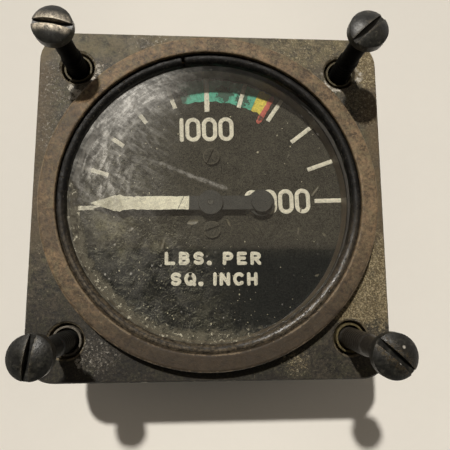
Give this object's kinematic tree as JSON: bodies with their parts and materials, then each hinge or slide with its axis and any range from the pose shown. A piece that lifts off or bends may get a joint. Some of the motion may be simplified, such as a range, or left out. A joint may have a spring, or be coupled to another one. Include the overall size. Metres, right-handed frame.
{
  "type": "hydraulic pressure gauge",
  "caption": "Square-flanged panel gauge with a round glazed dial, a centre pointer driven by a Bourdon tube movement, a rear threaded port and captive corner screws.",
  "frame": {"origin": "centre of the flange's front face, on the dial's axis", "axes": "+Z out of the dial, +X to the reader's right, +Y to the top of the dial"},
  "size_m": [0.0604, 0.0604, 0.0425],
  "materials": {
    "case": "worn black paint on corroded light alloy",
    "bezel": "matt brown, fine grain",
    "snap_ring": "gloss black spring wire",
    "glass": "clear, hazy at the rim",
    "gasket": "black rubber",
    "spacer": "matt black",
    "dial": "matt black, faded to brown",
    "dial_screws": "painted with the dial",
    "movement_brass": "turned",
    "captive_nuts": "dull brass",
    "mounting_screws": "black oxide, worn bright on the head",
    "pointer_paint": "cracked cream paint",
    "pointer_black": "black paint",
    "movement_steel": "polished",
    "hairspring": "bronze strip",
    "tube": "phosphor bronze",
    "socket": "dull brass",
    "seal": "red fibre"
  },
  "bodies": {
    "case": {"case_body": "case", "bezel_ring": "bezel", "snap_ring": "snap_ring", "glass": "glass", "glass_gasket": "gasket", "dial_spacer": "spacer", "dial": "dial", "dial_screws": "dial_screws", "dial_posts": "movement_brass", "captive_nuts": "captive_nuts", "hairspring_stud": "movement_brass", "bourdon_tube": "tube", "top_plate": "movement_brass", "bottom_plate": "movement_brass", "pillars": "movement_brass", "plate_screws": "movement_brass", "foot_screws": "movement_brass", "socket_block": "socket", "passage_plug": "movement_brass", "socket_seal": "seal", "socket_nut": "socket"},
    "pointer": {"pointer_blade": "pointer_paint", "pointer_hub": "pointer_black", "pointer_weight": "pointer_black", "pointer_arbor": "movement_steel", "pinion": "movement_brass", "hairspring_collet": "movement_brass", "hairspring": "hairspring"},
    "sector": {"sector_gear": "movement_brass", "sector_arbor": "movement_steel", "sector_pin": "movement_steel"},
    "link": {"link": "movement_brass"},
    "tube_tip": {"tube_tip": "movement_brass", "tip_pin": "movement_steel"},
    "screw_top_left": {"screw_top_left": "mounting_screws"},
    "screw_top_right": {"screw_top_right": "mounting_screws"},
    "screw_bottom_left": {"screw_bottom_left": "mounting_screws"},
    "screw_bottom_right": {"screw_bottom_right": "mounting_screws"}
  },
  "joints": [
    {"name": "sector_swing", "type": "hinge", "parent": "case", "child": "sector", "pos_m": [0.01003, -0.00401, -0.014], "axis": [0, 0, 1], "range_deg": [-0.18, 22.5], "stiffness_Nm_per_rad": 0.002},
    {"name": "pointer_spin", "type": "hinge", "parent": "case", "child": "pointer", "pos_m": [0, 0, -0.0045], "axis": [0, 0, 1], "range_deg": [-180.5, 1.5], "deforming": ["hairspring"]},
    {"name": "link_swing", "type": "hinge", "parent": "sector", "child": "link", "pos_m": [0.01493, -0.00499, -0.0132], "axis": [0, 0, 1], "range_deg": [-22.6, 0.2]},
    {"name": "tube_tip_curl", "type": "hinge", "parent": "case", "child": "tube_tip", "pos_m": [-0.00547, 0.0042, -0.0124], "axis": [0, 0, 1], "range_deg": [-0.05, 5.5], "deforming": ["bourdon_tube"]},
    {"name": "screw_top_left_travel", "type": "slide", "parent": "case", "child": "screw_top_left", "axis": [0, 0, 1], "range_m": [-0.0112, 0.00465]},
    {"name": "screw_top_right_travel", "type": "slide", "parent": "case", "child": "screw_top_right", "axis": [0, 0, 1], "range_m": [-0.0121, 0.00375]},
    {"name": "screw_bottom_left_travel", "type": "slide", "parent": "case", "child": "screw_bottom_left", "axis": [0, 0, 1], "range_m": [-0.0126, 0.00325]},
    {"name": "screw_bottom_right_travel", "type": "slide", "parent": "case", "child": "screw_bottom_right", "axis": [0, 0, 1], "range_m": [-0.0149, 0.00095]}
  ],
  "couplings": [
    {"joint": "pointer_spin", "follows": "sector_swing", "ratio": -8},
    {"joint": "link_swing", "follows": "sector_swing", "ratio": -1},
    {"joint": "tube_tip_curl", "follows": "sector_swing", "ratio": 0.2429}
  ]
}
